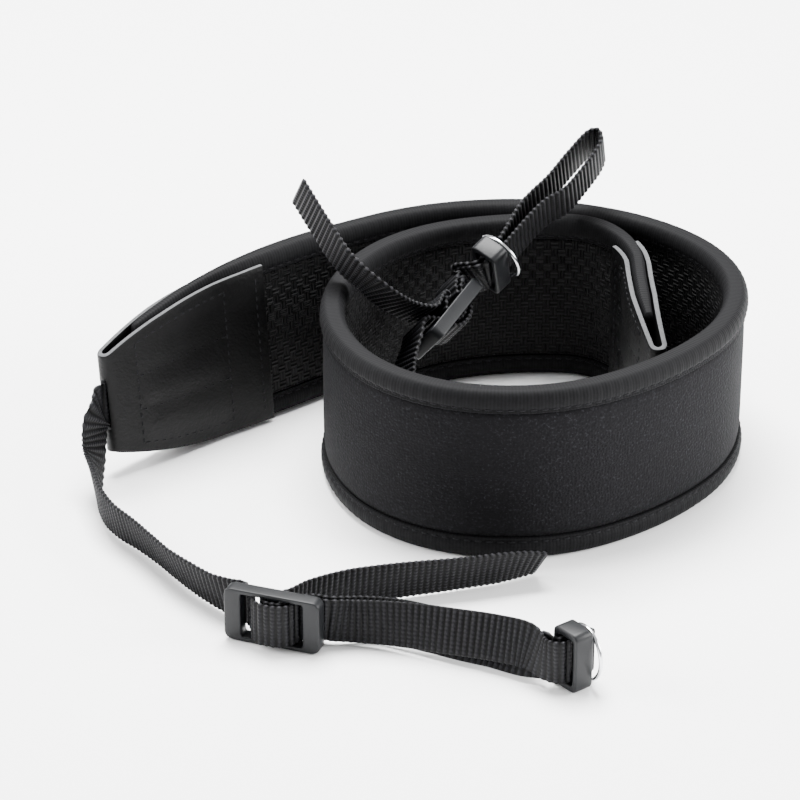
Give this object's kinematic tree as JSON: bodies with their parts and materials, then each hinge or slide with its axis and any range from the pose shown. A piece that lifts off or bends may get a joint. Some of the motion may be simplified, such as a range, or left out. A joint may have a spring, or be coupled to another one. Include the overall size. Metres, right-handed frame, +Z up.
{
  "type": "camera neck strap",
  "caption": "Padded neoprene camera neck strap, coiled on its long edge, with leatherette tabs and narrow webbing ends that carry sliders, keepers and rings.",
  "frame": {"origin": "middle of the whole strap's footprint, on the surface that the coil stands on", "axes": "+Z up, across the padded band's width; +Y along the longest side of the footprint, from the outer webbing with its slider towards the back of the coil; +X from the outer tab towards the coil"},
  "size_m": [0.1852, 0.1974, 0.0771],
  "materials": {
    "neoprene": "smooth jersey over foam",
    "grip_rubber": "basket-weave relief",
    "binding_tape": "ribbed elastic",
    "leatherette": "semi-matte",
    "webbing": "ribbed weave",
    "black_plastic": "semi-matte",
    "chrome": "polished"
  },
  "bodies": {
    "root": {"neoprene_core": "neoprene", "grip_lining": "grip_rubber", "binding_lower": "binding_tape", "binding_upper": "binding_tape", "tab_outer": "leatherette", "tab_inner": "leatherette", "webbing_outer": "webbing", "webbing_inner": "webbing", "slider_outer": "black_plastic", "slider_inner": "black_plastic", "keeper_outer": "black_plastic", "keeper_inner": "black_plastic", "ring_outer": "chrome", "ring_inner": "chrome"}
  },
  "joints": []
}
